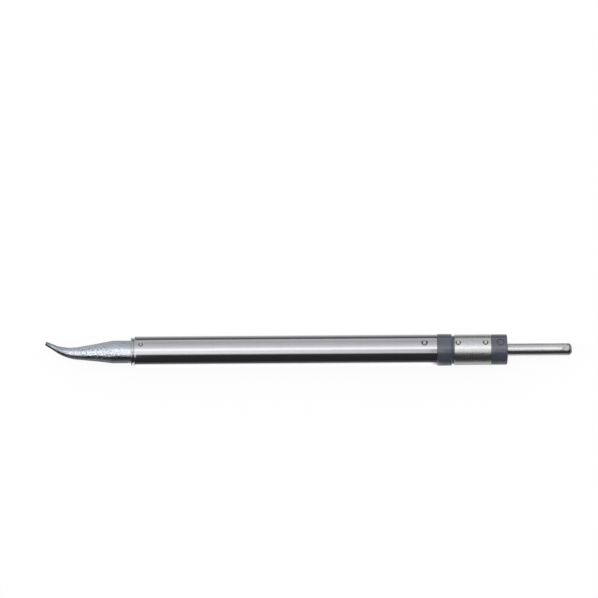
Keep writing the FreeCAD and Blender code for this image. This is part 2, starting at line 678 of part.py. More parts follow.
def build_contact_pin():
    """The turned centre contact: a cup for the rod, a root in the moulding and a round-nosed pin."""
    body = new_body("contact_pin", "fits.pin_at")
    cup = "fits.rod_bore_radius"
    root_start = "fits.neck_at + sizes.pin_root_place - fits.pin_at"
    root_end = "fits.rear_rim_at + sizes.rear_face_rise - fits.pin_at"
    end = "fits.pin_end_at - fits.pin_at"
    radius = "sizes.pin_dia / 2"
    tail = "fits.liner_radius"
    nose = [
        (f"{end} - sizes.pin_nose * (1 - sin({turn}))", f"{radius} - sizes.pin_nose * (1 - cos({turn}))")
        for turn in NOSE_TURNS
    ]
    turn_outline(body, "pin_turn", [
        ("0", cup),
        ("sizes.pin_cup_depth", cup),
        ("sizes.pin_cup_depth", "0"),
        (end, "0"),
        *nose,
        (root_end, radius),
        (root_end, "sizes.pin_root_dia / 2"),
        (root_start, "sizes.pin_root_dia / 2"),
        (root_start, tail),
        ("0", tail),
    ])


def build_strap():
    """The strip in the plug that joins the barrel's dimple to the ring's dimples."""
    body = new_body("return_strap", "fits.strap_at", MARKS)
    half = "sizes.strap_width / 2"
    plan = outline(body, "strap_plan", "XY_Plane", [
        ("0", f"-{half}"),
        ("fits.strap_length", f"-{half}"),
        ("fits.strap_length", half),
        ("0", half),
    ])
    plan.AttachmentOffset = FreeCAD.Placement(V(0, 0, 1), FreeCAD.Rotation())
    plan.setExpression("AttachmentOffset.Base.z", "fits.strap_floor")
    doc.recompute()
    strip = body.newObject("PartDesign::Pad", "strip")
    strip.Profile = plan
    strip.setExpression("Length", "sizes.strap_thickness")
    doc.recompute()


def check_document():
    """Stops if any object failed or any body is not one sound solid."""
    failed = [o.Name for o in doc.Objects if {"Invalid", "Error"} & set(o.State)]
    for body in bodies:
        shape = body.Shape
        if shape.isNull() or not shape.isValid() or len(shape.Solids) != 1:
            failed.append(body.Name)
    if failed:
        raise RuntimeError("failed: " + ", ".join(failed))


def export_bodies():
    """Writes each body to a STEP file of its own name."""
    os.makedirs("parts", exist_ok=True)
    for body in bodies:
        body.Shape.exportStep(f"parts/{body.Label}.step")


sizes = fill_sheet("sizes", SIZES)
fits = fill_sheet("fits", FITS)
build_barrel()
build_bush()
build_bit()
build_heater_tubes()
build_coil()
build_front_lead()
build_rear_lead()
build_end_disc()
build_conductor()
build_plug()
build_contact_ring()
build_contact_pin()
build_strap()
doc.recompute()
check_document()
export_bodies()
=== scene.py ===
"""Dresses the soldering cartridge: smooth turned pieces, worked metal and moulded finishes, and its stage.

All lengths are in metres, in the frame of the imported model, with the cartridge's axis along X.
"""

from functools import cached_property
from math import atan2, cos, hypot, pi, radians, sin, tan, tau

import bmesh
import bpy
from bpy.props import FloatProperty, FloatVectorProperty, IntProperty, PointerProperty
from mathutils import Matrix, Vector


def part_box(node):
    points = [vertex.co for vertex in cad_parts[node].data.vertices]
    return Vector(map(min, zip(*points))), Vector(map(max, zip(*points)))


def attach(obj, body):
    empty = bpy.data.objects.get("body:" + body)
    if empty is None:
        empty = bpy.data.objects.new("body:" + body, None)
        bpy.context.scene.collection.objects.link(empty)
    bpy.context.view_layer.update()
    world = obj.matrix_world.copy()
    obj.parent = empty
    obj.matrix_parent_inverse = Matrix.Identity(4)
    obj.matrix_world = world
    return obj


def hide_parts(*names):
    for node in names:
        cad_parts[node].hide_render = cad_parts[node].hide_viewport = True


bl_info = {
    "name": "Soldering cartridge dressing",
    "version": (1, 0, 0),
    "blender": (4, 5, 0),
    "location": "View3D > Sidebar > Cartridge",
    "description": "Builds the visible pieces, finishes and stage of a bent soldering cartridge",
    "category": "Object",
}

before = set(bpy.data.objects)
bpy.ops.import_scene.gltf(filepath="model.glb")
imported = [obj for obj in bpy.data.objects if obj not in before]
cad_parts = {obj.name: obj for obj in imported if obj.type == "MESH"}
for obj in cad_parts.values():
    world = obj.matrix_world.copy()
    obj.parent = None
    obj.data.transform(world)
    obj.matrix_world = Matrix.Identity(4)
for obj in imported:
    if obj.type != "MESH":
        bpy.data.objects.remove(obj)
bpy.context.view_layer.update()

MM = 0.001
# Clearance between pieces that fit together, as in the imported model.
FIT_GAP = 0.02 * MM
# Vertices closer than this become one.
WELD = 0.0001 * MM
# Width of the image and of the camera's sensor.
IMAGE_PIXELS = 598
SENSOR_MM = 36.0

BIT_LOW, BIT_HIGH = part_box("soldering_bit")
BUSH_LOW, BUSH_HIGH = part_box("bit_bush")
BARREL_LOW, BARREL_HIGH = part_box("barrel")
PLUG_LOW, PLUG_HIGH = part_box("connector_body")
RING_LOW, RING_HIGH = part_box("contact_ring")
PIN_LOW, PIN_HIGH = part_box("contact_pin")

AXIS_HEIGHT = (BARREL_LOW.z + BARREL_HIGH.z) / 2
BARREL_RADIUS = (BARREL_HIGH.y - BARREL_LOW.y) / 2
RING_RADIUS = (RING_HIGH.y - RING_LOW.y) / 2
COLLAR_RADIUS = min(PLUG_HIGH.z - AXIS_HEIGHT, AXIS_HEIGHT - PLUG_LOW.z, PLUG_HIGH.y, -PLUG_LOW.y)
MOUTH = BARREL_LOW.x
BARREL_END = BARREL_HIGH.x


def length(name, about, default):
    """A size in metres that is given in millimetres."""
    return FloatProperty(
        name=name, description=about, default=default * MM, precision=5, subtype="DISTANCE", unit="LENGTH"
    )


def angle(name, about, default):
    """An angle that is given in degrees."""
    return FloatProperty(
        name=name, description=about, default=radians(default), subtype="ANGLE", unit="ROTATION"
    )


def colour(name, about, default):
    """A colour with its default as red, green and blue."""
    return FloatVectorProperty(
        name=name, description=about, default=default, size=3, min=0.0, max=1.0, subtype="COLOR"
    )


def share(name, about, default):
    """A number from 0 to 1."""
    return FloatProperty(name=name, description=about, default=default, min=0.0, max=1.0, subtype="FACTOR")


class CartridgeShape(bpy.types.PropertyGroup):
    """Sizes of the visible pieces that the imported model's boxes don't give."""

    steps: IntProperty(name="Steps", description="Steps of a full turn", default=224, min=48, max=512)
    mark_turn: angle("Dimple row", "From straight up towards +Y", 29)
    barrel_wall: length("Barrel wall", "Wall of the long tube", 0.25)
    barrel_rim: length("Barrel rim", "Rounding of the tube's rims", 0.07)
    fine_edge: length("Fine edges", "Rounding of small inner edges", 0.03)
    front_dimple_place: length("Front dimple place", "Behind the barrel's mouth", 1.2)
    front_dimple_width: length("Front dimple width", "Across its rim", 0.84)
    front_dimple_depth: length("Front dimple depth", "Below the barrel's surface", 0.15)
    rear_dimple_place: length("Rear dimple place", "Ahead of the barrel's rear face", 2.4)
    rear_dimple_width: length("Rear dimple width", "Across its rim", 1.24)
    rear_dimple_depth: length("Rear dimple depth", "Below the barrel's surface", 0.19)
    core_radius: length("Core radius", "Bit inside the heater", 1.47)
    shoulder_radius: length("Shoulder radius", "Bit behind the bush", 2.39)
    shoulder_length: length("Shoulder length", "Bit behind the bush", 0.6)
    shank_radius: length("Shank radius", "Bit inside the bush", 2.2)
    neck_radius: length("Neck radius", "Bit from the bush to the cone", 2.115)
    neck_step: length("Neck step", "Length of the step down to the neck", 0.5)
    cone_place: length("Cone place", "Ahead of the barrel's mouth", 4.1)
    waist_radius: length("Waist radius", "Halfway along the straight cone", 1.62)
    bend_start_radius: length("Bend start radius", "Cone where its bend starts", 1.2)
    bend_end_radius: length("Bend end radius", "Cone where its bend ends", 0.54)
    bend_swell: length("Bend swell", "Above a straight taper, halfway round the bend", 0.05)
    end_radius: length("End radius", "Working end", 0.37)
    end_round: length("End rounding", "Rounding of the working end", 0.12)
    set_turn: angle("Set", "Slope of the cone away from its bend", 2)
    bend_turn: angle("Bend", "Direction of the working end", 27)
    bend_radius: length("Bend radius", "Of the cone's middle line", 8.8)
    bend_tail: length("Bend tail", "Straight length past the bend", 2.1)
    bush_bead_step: length("Bead step", "Bead below the barrel's surface", 0.24)
    bush_bead_length: length("Bead length", "Width of the bead", 0.46)
    bush_groove_radius: length("Groove radius", "Floor of the groove behind the bead", 2.49)
    bush_edge: length("Bush edges", "Rounding of its ends and the bead's rear", 0.05)
    bead_edge: length("Bead edge", "Rounding of the bead's front", 0.11)
    spigot_edge: length("Spigot edge", "Rounding of the plug's front end", 0.2)
    front_collar_length: length("Front collar", "From the barrel to the neck", 2.75)
    collar_front_rim: length("Collar front rim", "Front collar at the barrel", 0.12)
    collar_rim: length("Collar rear rim", "Front collar at the neck", 0.2)
    collar_draft: length("Collar draft", "Fall of each collar towards the rear", 0.02)
    plug_neck_radius: length("Plug neck", "Between the front collar and the ring", 2.67)
    neck_edge: length("Neck edge", "Rounding at the front collar", 0.06)
    rear_collar_drop: length("Rear collar", "Its surface below the barrel's", 0.04)
    rear_collar_edge: length("Rear collar edge", "Rounding of its edge at the ring", 0.04)
    rear_rim: length("Rear rim", "Rounding of the rear collar's rim", 0.13)
    rear_rise: length("Rear face", "Rise of the rear face from its rim to the pin", 0.18)
    face_margin: length("Face margin", "From the collar's surface to the dome", 0.12)
    circle_place: length("Circle place", "Behind the ring", 1.72)
    circle_radius: length("Circle radius", "Middle of its line", 0.63)
    circle_line: length("Circle line", "Width of its line", 0.24)
    circle_depth: length("Circle depth", "Depth of its line", 0.14)
    ring_wall: length("Ring wall", "Sheet of the contact ring", 0.18)
    ring_rim: length("Ring rim", "Rounding of the ring's edges", 0.05)
    seam_gap: length("Seam", "Gap between the ring's ends", 0.12)
    seam_turn: angle("Seam turn", "From the dimple row, away from the bend", 119)
    ring_dimple_front: length("Ring dimple front", "Behind the ring's front edge", 0.68)
    ring_dimple_rear: length("Ring dimple rear", "Ahead of the ring's rear edge", 1.05)
    ring_dimple_width: length("Ring dimple width", "Across its rim", 1.08)
    ring_dimple_depth: length("Ring dimple depth", "Below the ring's surface", 0.2)
    pin_radius: length("Pin radius", "Free end of the contact pin", 1.16)
    pin_root_radius: length("Pin root", "Root of the pin in the moulding", 1.4)
    pin_root_place: length("Root place", "Behind the front collar", 3.5)
    pin_tail_radius: length("Pin tail", "As wide as the liner ahead of it", 0.99)
    pin_cup_radius: length("Pin cup", "Cup that takes the rod", 0.57)
    pin_cup_depth: length("Cup depth", "Cup that takes the rod", 2.5)
    pin_nose: length("Pin nose", "Rounding of the pin's free end", 0.8)
    worn_end: length("Worn end", "Scuffed stretch of the pin", 5.4)


class CartridgeFinish(bpy.types.PropertyGroup):
    """Colours and gloss of the finishes."""

    steel: colour("Barrel steel", "Drawn stainless tube", (0.72, 0.712, 0.755))
    bush: colour("Bush steel", "Turned bush", (0.62, 0.62, 0.65))
    plating: colour("Bit plating", "Grainy iron plating", (0.88, 0.93, 1.0))
    plating_dark: colour("Plating hollows", "Hollows of the plating's grain", (0.30, 0.34, 0.46))
    solder: colour("Working end", "Burnt and tinned working end", (0.13, 0.13, 0.122))
    plastic: colour("Plug", "Slate moulding", (0.060, 0.067, 0.090))
    tin: colour("Contact ring", "Tinned sheet", (0.78, 0.79, 0.80))
    nickel: colour("Contact pin", "Nickel plating", (0.76, 0.76, 0.775))
    copper: colour("Copper", "Rod and winding", (0.72, 0.36, 0.22))
    ceramic: colour("Ceramic", "Beads, former and disc", (0.82, 0.80, 0.76))
    film: colour("Jacket", "Amber insulation", (0.55, 0.25, 0.045))
    liner: colour("Liner", "White sleeve on the rod", (0.86, 0.86, 0.84))
    alloy: colour("Alloy", "Magnetic sleeve and screen", (0.42, 0.42, 0.43))
    brass: colour("Tinned brass", "Ferrule and strip", (0.62, 0.60, 0.56))
    steel_roughness: share("Barrel roughness", "Across the rings of brushing", 0.115)
    bush_roughness: share("Bush roughness", "Turned steel", 0.14)
    ring_roughness: share("Ring roughness", "Tinned sheet", 0.28)
    pin_roughness: share("Pin roughness", "Nickel plating", 0.25)


class CartridgeStage(bpy.types.PropertyGroup):
    """Camera, floor and light."""

    pixel: length("Pixel", "Size of one pixel at the axis", 0.1871)
    look_x: length("Look X", "Point on the axis under the middle of the image", -1.78)
    look_up: length("Look up", "Middle of the image above the axis", 9.686)
    roll: angle("Roll", "Rise of the axis to the right", 0.38)
    camera_height: length("Camera height", "Above the axis", 1000)
    floor_colour: colour("Floor", "Pale floor", (0.93, 0.93, 0.93))


class Level:
    """A number that varies over a surface; arithmetic on it adds Math nodes."""

    def __init__(self, nodes, socket):
        self.nodes = nodes
        self.socket = socket

    def math(self, operation, *values):
        """The result of a Math node on this number and others."""
        return self.nodes.math(operation, self, *values)

    def __add__(self, other):
        return self.math("ADD", other)

    __radd__ = __add__

    def __sub__(self, other):
        return self.math("SUBTRACT", other)

    def __rsub__(self, other):
        return self.nodes.math("SUBTRACT", other, self)

    def __mul__(self, other):
        return self.math("MULTIPLY", other)

    __rmul__ = __mul__

    def clamp(self):
        """This number kept from 0 to 1."""
        return self.math("MINIMUM", 1.0).math("MAXIMUM", 0.0)

    def between(self, low, high):
        """0 at low and below, 1 at high and above, with a smooth way between."""
        inputs = {"Value": self, "From Min": low, "From Max": high}
        node = self.nodes.node("MapRange", inputs, interpolation_type="SMOOTHSTEP")
        return self.nodes.level(node, "Result")


# Sockets of a Mix node that mixes colours: its factor and both colours, and the result.
MIX_INPUTS = (0, 6, 7)
MIX_OUTPUT = 2


class Nodes:
    """One node tree, and the calls that add nodes to it."""

    def __init__(self, tree):
        self.tree = tree

    def node(self, kind, inputs=None, **settings):
        """A shader node of a kind, with its settings, then the values or links of its sockets."""
        node = self.tree.nodes.new("ShaderNode" + kind)
        for key, value in settings.items():
            if key == "stops":
                self.set_stops(node.color_ramp.elements, value)
            else:
                setattr(node, key, value)
        for key, value in (inputs or {}).items():
            self.feed(node.inputs[key], value)
        return node

    def set_stops(self, elements, stops):
        """Sets a ramp's stops, each a place and a level."""
        while len(elements) > 1:
            elements.remove(elements[-1])
        for index, (place, level) in enumerate(stops):
            element = elements.new(place) if index else elements[0]
            element.position = place
            element.color = (level, level, level, 1.0)

    def feed(self, socket, value):
        """Links a socket to a value's source, or sets it to a plain value."""
        if isinstance(value, Level):
            value = value.socket
        if isinstance(value, bpy.types.NodeSocket):
            self.tree.links.new(value, socket)
        elif socket.type == "RGBA" and len(value) == 3:
            socket.default_value = (*value, 1.0)
        else:
            socket.default_value = value

    def level(self, node, output):
        """One of a node's outputs as a number."""
        return Level(self, node.outputs[output])

    def math(self, operation, *values):
        """The result of a Math node."""
        return self.level(self.node("Math", dict(enumerate(values)), operation=operation), 0)

    @cached_property
    def place(self):
        """The place on the piece: X along the axis, then across and above it."""
        inputs = {0: self.node("TexCoord").outputs["Object"], 1: (0.0, 0.0, AXIS_HEIGHT)}
        return self.node("VectorMath", inputs, operation="SUBTRACT").outputs[0]

    def parts(self, vector):
        """The three parts of a vector, as numbers."""
        split = self.node("SeparateXYZ", {0: vector})
        return [self.level(split, axis) for axis in "XYZ"]

    def rays(self, *kinds):
        """1 for rays of each kind and 0 for others, as numbers."""
        path = self.node("LightPath")
        return [self.level(path, f"Is {kind} Ray") for kind in kinds]

    def noise(self, scale, detail=3.0, roughness=0.55, stretch=(1.0, 1.0, 1.0)):
        """A noise from -0.5 to 0.5; scale is in cells per metre and stretch multiplies it on each axis."""
        factors = {0: self.place, 1: tuple(scale * part for part in stretch)}
        scaled = self.node("VectorMath", factors, operation="MULTIPLY").outputs[0]
        inputs = {"Vector": scaled, "Scale": 1.0, "Detail": detail, "Roughness": roughness}
        return self.level(self.node("TexNoise", inputs, noise_dimensions="3D"), "Fac") - 0.5

    def ramp(self, factor, levels, reach):
        """A level between the given ones, each at its place from -reach to reach, as a share of the peak."""
        stops = [((place / reach + 1.0) / 2.0, level / PEAK) for place, level in levels]
        return self.level(self.node("ValToRGB", {"Fac": factor}, stops=stops), "Color")

    def mix_colours(self, factor, first, second):
        """A colour between two others, by a number that varies."""
        sockets = dict(zip(MIX_INPUTS, (factor, first, second)))
        return self.node("Mix", sockets, data_type="RGBA").outputs[MIX_OUTPUT]

    def mix_shaders(self, factor, first, second):
        """A shader between two others."""
        return self.node("MixShader", {0: factor, 1: first, 2: second}).outputs[0]

    def glow(self, kind, light, strength):
        """A shader of even light: an Emission or a Background."""
        return self.node(kind, {"Color": light, "Strength": strength}).outputs[0]

    def bump(self, height, distance, strength=1.0):
        """A normal that a height changes; distance is the height's full size in metres."""
        inputs = {"Height": height, "Distance": distance, "Strength": strength}
        return self.node("Bump", inputs).outputs["Normal"]


class Finish(Nodes):
    """One material with its shader."""

    def __init__(self, name):
        self.material = bpy.data.materials.new(name)
        self.material.use_nodes = True
        super().__init__(self.material.node_tree)
        self.shader = next(n for n in self.tree.nodes if n.type == "BSDF_PRINCIPLED")

    def set(self, **values):
        """Sets the shader's sockets, named with underscores for blanks."""
        for key, value in values.items():
            self.feed(self.shader.inputs[key.replace("_", " ")], value)

    def show(self, output):
        """Shows an output in place of the shader."""
        surface = next(n for n in self.tree.nodes if n.type == "OUTPUT_MATERIAL")
        self.tree.links.new(output, surface.inputs["Surface"])


# How a noise is stretched along, across and above the axis: fine rings, soft bands and draw lines.
RINGS = (1.0, 0.012, 0.012)
BANDS = (1.0, 0.05, 0.05)
DRAWS = (0.02, 1.0, 1.0)
# Wall of a dimple, which gets painted shade, in shares of its radius: where it sets in from the floor, and
# where it ends.
DIMPLE_SHADE_WALL = ((0.4, 0.7), (0.85, 1.05))
# Stretches of the bit where its burnt end stops, where its dulled cone clears and where its neck calms.
BURNT = (BIT_LOW.x + 0.3 * MM, BIT_LOW.x + 1.3 * MM)
DULLED = (BIT_LOW.x + 1.5 * MM, BIT_LOW.x + 5.5 * MM)
CALM = (MOUTH - 5 * MM, MOUTH - 3.4 * MM)
# Stretches of the pin where its scuffs and the painted shade of its nose set in.
SCUFFED = (PIN_HIGH.x - 3.2 * MM, PIN_HIGH.x - 1.8 * MM)
NOSE_SHADE = (PIN_HIGH.x - 0.85 * MM, PIN_HIGH.x - 0.45 * MM)


def shade(base, factor):
    """A colour made lighter or darker."""
    return tuple(min(1.0, part * factor) for part in base)


def tint(base, red, green, blue):
    """A colour with each part changed by its own factor."""
    return (base[0] * red, base[1] * green, base[2] * blue)


def brushed_finish(name, base, roughness, ring_scale=9000.0):
    """Turned or drawn metal with fine rings round the axis."""
    finish = Finish(name)
    rings = finish.noise(ring_scale, 4.0, 0.65, RINGS)
    broad = finish.noise(900.0, 2.0, 0.5, BANDS)
    clouds = finish.noise(260.0, 3.0, 0.5)
    tone = rings * 0.16 + broad * 0.1 + clouds * 0.1 + 0.5
    finish.set(
        Base_Color=finish.mix_colours(tone.clamp(), shade(base, 0.86), shade(base, 1.12)),
        Metallic=1.0,
        Roughness=clouds * 0.06 + rings * 0.08 + roughness,
        Normal=finish.bump(rings, 0.0012 * MM),
    )
    return finish


def dimple_wall_shade(finish, radius, turn, spots):
    """1 on the wall of each dimple in a row, each the place of its middle and its width, and 0 elsewhere:
    where shade is painted into the colour.
    """
    along, across, up = finish.parts(finish.place)
    sideways = (finish.math("ARCTAN2", across, up) - turn) * radius
    start, end = DIMPLE_SHADE_WALL
    wall_shade = 0.0
    for spot, width in spots:
        ahead = along - spot
        away = (ahead * ahead + sideways * sideways).math("SQRT") * (2 / width)
        wall_shade = wall_shade + away.between(*start) * (1.0 - away.between(*end))
    return wall_shade


def barrel_finish(look, turn, spots):
    """Drawn stainless tube: rings, bands, draw lines and faint scuffs, and painted shade on the wall of each
    dimple.
    """
    finish = Finish("barrel_steel")
    rings = finish.noise(9000.0, 4.0, 0.65, RINGS)
    broad = finish.noise(1100.0, 2.0, 0.5, BANDS)
    clouds = finish.noise(240.0, 3.0, 0.5)
    draws = finish.noise(2400.0, 4.0, 0.6, DRAWS)
    scuffs = finish.noise(2600.0, 5.0, 0.7, (0.3, 1.0, 1.0)).between(0.12, 0.28)
    tone = rings * 0.2 + broad * 0.12 + clouds * 0.12 + draws * 1.1 + 0.5
    steel = finish.mix_colours(tone.clamp(), shade(look.steel, 0.86), shade(look.steel, 1.1))
    scuffed = finish.mix_colours(scuffs * 0.25, steel, shade(look.steel, 0.7))
    # Painted shade: the metal is darkened on the wall of each dimple.
    wall_shade = dimple_wall_shade(finish, BARREL_RADIUS, turn, spots)
    finish.set(
        Base_Color=finish.mix_colours(wall_shade * 0.8, scuffed, shade(look.steel, 0.15)),
        Metallic=1.0,
        Roughness=clouds * 0.05 + rings * 0.06 + scuffs * 0.1 + look.steel_roughness,
        Normal=finish.bump(rings, 0.0008 * MM),
    )
    return finish


def plating_finish(look):
    """Grainy blue-grey plating: calmer on the neck, dulled along the bend and dark at the working end."""
    finish = Finish("bit_plating")
    along, _, _ = finish.parts(finish.place)
    grain = finish.noise(2400.0, 2.0)
    speckle = finish.noise(4600.0, 2.0, 0.6)
    clouds = finish.noise(900.0)
    wavy = along + clouds * 1.4 * MM
    burnt = 1.0 - wavy.between(*BURNT)
    dulled = 1.0 - wavy.between(*DULLED)
    lively = 1.0 - wavy.between(*CALM) * 0.5
    specks = grain * 1.2 + speckle * 1.6 + 0.24
    light = (specks * lively + clouds * 0.4 + 0.56).clamp()
    clean = finish.mix_colours(light, look.plating_dark, look.plating)
    plating = finish.mix_colours(dulled * 0.7, clean, look.plating_dark)
    solder = finish.mix_colours(light, shade(look.solder, 0.6), shade(look.solder, 1.8))
    finish.set(
        Base_Color=finish.mix_colours(burnt, plating, solder),
        Metallic=1.0,
        Roughness=(0.13 + speckle * 0.2 + dulled * 0.08).clamp(),
        Normal=finish.bump((grain * 0.6 + speckle * 0.4) * lively, 0.13 * MM),
    )
    return finish


def plastic_finish(look):
    """Slate moulding, semi-matt, with faint clouds, flow lines and grain."""
    finish = Finish("plug_plastic")
    grain = finish.noise(9000.0, 3.0, 0.6)
    clouds = finish.noise(500.0)
    flow = finish.noise(1600.0, 3.0, 0.6, (0.4, 1.0, 1.0))
    tone = (clouds * 0.7 + flow * 0.5 + grain * 0.5 + 0.5).clamp()
    finish.set(
        Base_Color=finish.mix_colours(tone, shade(look.plastic, 0.8), shade(look.plastic, 1.25)),
        Roughness=(0.21 + grain * 0.12 + clouds * 0.08).clamp(),
        Normal=finish.bump(grain, 0.008 * MM, 0.6),
        Specular_IOR_Level=1.0,
        Coat_Weight=0.5,
        Coat_Roughness=0.12,
    )
    return finish


def wear_and_nose_shade(finish, marked, base, worn_from, clouds):
    """The pin's colour with scuffs past a place and painted shade towards its nose, for the dark end that it
    mirrors.
    """
    along, _, _ = finish.parts(finish.place)
    worn = (along + clouds * 0.8 * MM).between(worn_from, worn_from + 0.3 * MM)
    scuffs = finish.noise(1900.0, 4.0, 0.65, (0.7, 1.0, 1.0)).between(0.02, 0.1)
    # Painted shade: the nose is darkened towards its end.
    nose = (along + clouds * 0.4 * MM).between(*NOSE_SHADE)
    scuffs_and_nose_shade = scuffs * along.between(*SCUFFED) + nose * 0.7
    rubbed = finish.mix_colours(worn * 0.4, marked, shade(base, 1.2))
    # Real scuffs and the painted shade of the nose darken the colour.
    return finish.mix_colours((scuffs_and_nose_shade * 0.8).clamp(), rubbed, shade(base, 0.3))


def tin_finish(name, base, roughness, warm=0.3, worn_from=None, dimples=None):
    """Tinned or nickelled metal: warm and cool patches, pits, a worn end with painted shade at its nose, and
    painted shade on the wall of each dimple.
    """
    finish = Finish(name)
    clouds = finish.noise(620.0, 4.0, 0.6)
    patches = finish.noise(1500.0, 3.0, 0.6, (1.0, 0.6, 0.6))
    rings = finish.noise(8000.0, 3.0, 0.6, (1.0, 0.02, 0.02))
    pits = finish.noise(9500.0, 2.0, 0.6).between(0.16, 0.28)
    waves = finish.noise(1300.0, 1.0, 0.5)
    warm_tone = tint(base, 1.0 + 0.05 * warm, 0.98, 0.97 - 0.08 * warm)
    cool_tone = tint(base, 0.95, 0.98, 1.03)
    toned = finish.mix_colours((clouds * 2.2 + 0.5).clamp(), warm_tone, cool_tone)
    marked = finish.mix_colours((patches * 1.8 + 0.4).clamp() * 0.5, toned, shade(base, 1.22))
    if worn_from is not None:
        marked = wear_and_nose_shade(finish, marked, base, worn_from, clouds)
    # Painted shade: the metal is darkened on the wall of each dimple.
    if dimples is not None:
        marked = finish.mix_colours(dimple_wall_shade(finish, *dimples) * 0.75, marked, shade(base, 0.15))
    finish.set(
        Base_Color=finish.mix_colours(pits * 0.35, marked, shade(base, 0.5)),
        Metallic=1.0,
        Roughness=(clouds * 0.12 + rings * 0.08 + pits * 0.1 + roughness).clamp(),
        Normal=finish.bump(waves * 0.6 + rings * 0.1 - pits * 0.1, 0.01 * MM, 0.8),
    )
    return finish


def dull_finish(name, base, roughness, grain_scale=5000.0, depth=0.01 * MM):
    """Fired ceramic, film or fluoropolymer: a soft mottle and a fine grain."""
    finish = Finish(name)
    grain = finish.noise(grain_scale, 3.0, 0.6)
    clouds = finish.noise(700.0, 3.0, 0.5)
    tone = (grain * 0.6 + clouds * 0.8 + 0.5).clamp()
    finish.set(
        Base_Color=finish.mix_colours(tone, shade(base, 0.86), shade(base, 1.08)),
        Roughness=(roughness + grain * 0.15).clamp(),
        Normal=finish.bump(grain, depth, 0.6),
    )
    return finish


def dress(finish, *names):
    """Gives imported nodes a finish."""
    for name in names:
        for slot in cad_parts[name].material_slots:
            slot.material = finish.material


# Flats of each rounded corner.
RIM_SEGMENTS = 5
# Rings of vertices near a pressed mark, and digits of their places in metres.
STATION_STEP = 0.075 * MM
STATION_DIGITS = 7
# How far from each mark's middle the skin has such rings, and how far it is divided further.
BARREL_REACH = (0.9 * MM, 0.81 * MM)
CIRCLE_REACH = (0.95 * MM, 0.855 * MM)
RING_REACH = (0.75 * MM, 0.68 * MM)
# Shares of a radius: how far off it a vertex is still skin, and how far in it still belongs to the wall.
SKIN_SHARE = 0.012
WALL_SHARE = 0.85


def turned(steps, corners, turn=tau, start=0.0):
    """A closed outline of (along, radius, rounding) corners, turned about the axis, as a bmesh."""
    bm = bmesh.new()
    points = [bm.verts.new((along, 0.0, AXIS_HEIGHT + radius)) for along, radius, _ in corners]
    for i, point in enumerate(points):
        bm.edges.new((points[i - 1], point))
    for point, (_, _, rounding) in zip(points, corners):
        if rounding:
            bmesh.ops.bevel(
                bm, geom=[point], offset=rounding, offset_type="OFFSET", affect="VERTICES",
                segments=RIM_SEGMENTS, profile=0.5, material=-1, clamp_overlap=True,
            )
    spin(bm, steps, turn, start)
    return bm


def spin(bm, steps, turn, start):
    """Turns an outline about the axis, fully or by an angle from a start, into a closed skin."""
    centre = Vector((0.0, 0.0, AXIS_HEIGHT))
    if start:
        bmesh.ops.rotate(bm, verts=bm.verts, cent=centre, matrix=Matrix.Rotation(start, 3, "X"))
    full = turn == tau
    outline = bm.edges[:]
    bmesh.ops.spin(
        bm, geom=bm.verts[:] + outline, cent=centre, axis=(1.0, 0.0, 0.0), angle=turn, steps=steps,
        use_merge=full, use_duplicate=False,
    )
    bmesh.ops.remove_doubles(bm, verts=bm.verts, dist=WELD)
    bmesh.ops.delete(bm, geom=[e for e in bm.edges if e.is_wire], context="EDGES")
    if not full:
        bmesh.ops.holes_fill(bm, edges=[e for e in bm.edges if e.is_boundary], sides=0)
    bmesh.ops.recalc_face_normals(bm, faces=bm.faces)


def polar(point):
    """A point's distance from the axis and its turn from straight up towards +Y."""
    return hypot(point.y, point.z - AXIS_HEIGHT), atan2(point.y, point.z - AXIS_HEIGHT)


def set_radius(vert, radius):
    """Moves a vertex straight away from the axis or to it."""
    _, turn = polar(vert.co)
    vert.co.y = radius * sin(turn)
    vert.co.z = AXIS_HEIGHT + radius * cos(turn)


def from_spot(point, along, turn, radius):
    """Distance over the surface from a spot."""
    _, at = polar(point)
    return hypot(point.x - along, radius * ((at - turn + pi) % tau - pi))


def on_skin(vert, radius):
    """Whether a vertex lies on the cylinder of a radius."""
    return abs(polar(vert.co)[0] - radius) < radius * SKIN_SHARE


def refine(bm, along, turn, radius, reach, cuts):
    """Divides the outer skin round a spot, and keeps it on its cylinder."""
    skin = [
        e for e in bm.edges
        if all(on_skin(v, radius) and from_spot(v.co, along, turn, radius) < reach for v in e.verts)
    ]
    made = bmesh.ops.subdivide_edges(bm, edges=skin, cuts=cuts, use_grid_fill=True)
    for vert in made["geom_inner"]:
        if isinstance(vert, bmesh.types.BMVert):
            set_radius(vert, radius)


def press(bm, along, turn, radius, width, depth):
    """Presses a round dimple, with its wall, towards the axis."""
    for vert in bm.verts:
        away = 2.0 * from_spot(vert.co, along, turn, radius) / width
        present, _ = polar(vert.co)
        if away < 1.0 and present > radius * WALL_SHARE:
            set_radius(vert, present - depth * (1.0 - away * away))


def stations(low, high, spots, reach):
    """Places along a skin that has rings only near its spots."""
    found = set()
    for spot in spots:
        place = spot - reach
        while place <= spot + reach:
            if low < place < high:
                found.add(round(place, STATION_DIGITS))
            place += STATION_STEP
    return sorted(found)


def add_object(name, bm, finish):
    """Puts a bmesh in the scene as an object with a finish."""
    mesh = bpy.data.meshes.new(name)
    bm.to_mesh(mesh)
    bm.free()
    mesh.materials.append(finish.material)
    added = bpy.data.objects.new(name, mesh)
    bpy.context.scene.collection.objects.link(added)
    return added


def finish_piece(name, bm, node, finish, sharp=40.0):
    """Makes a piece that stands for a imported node, smooth but for edges sharper than some degrees."""
    bm.normal_update()
    piece = add_object(name, bm, finish)
    piece.data.shade_smooth()
    piece.data.set_sharp_from_angle(angle=radians(sharp))
    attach(piece, "root")
    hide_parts(node)


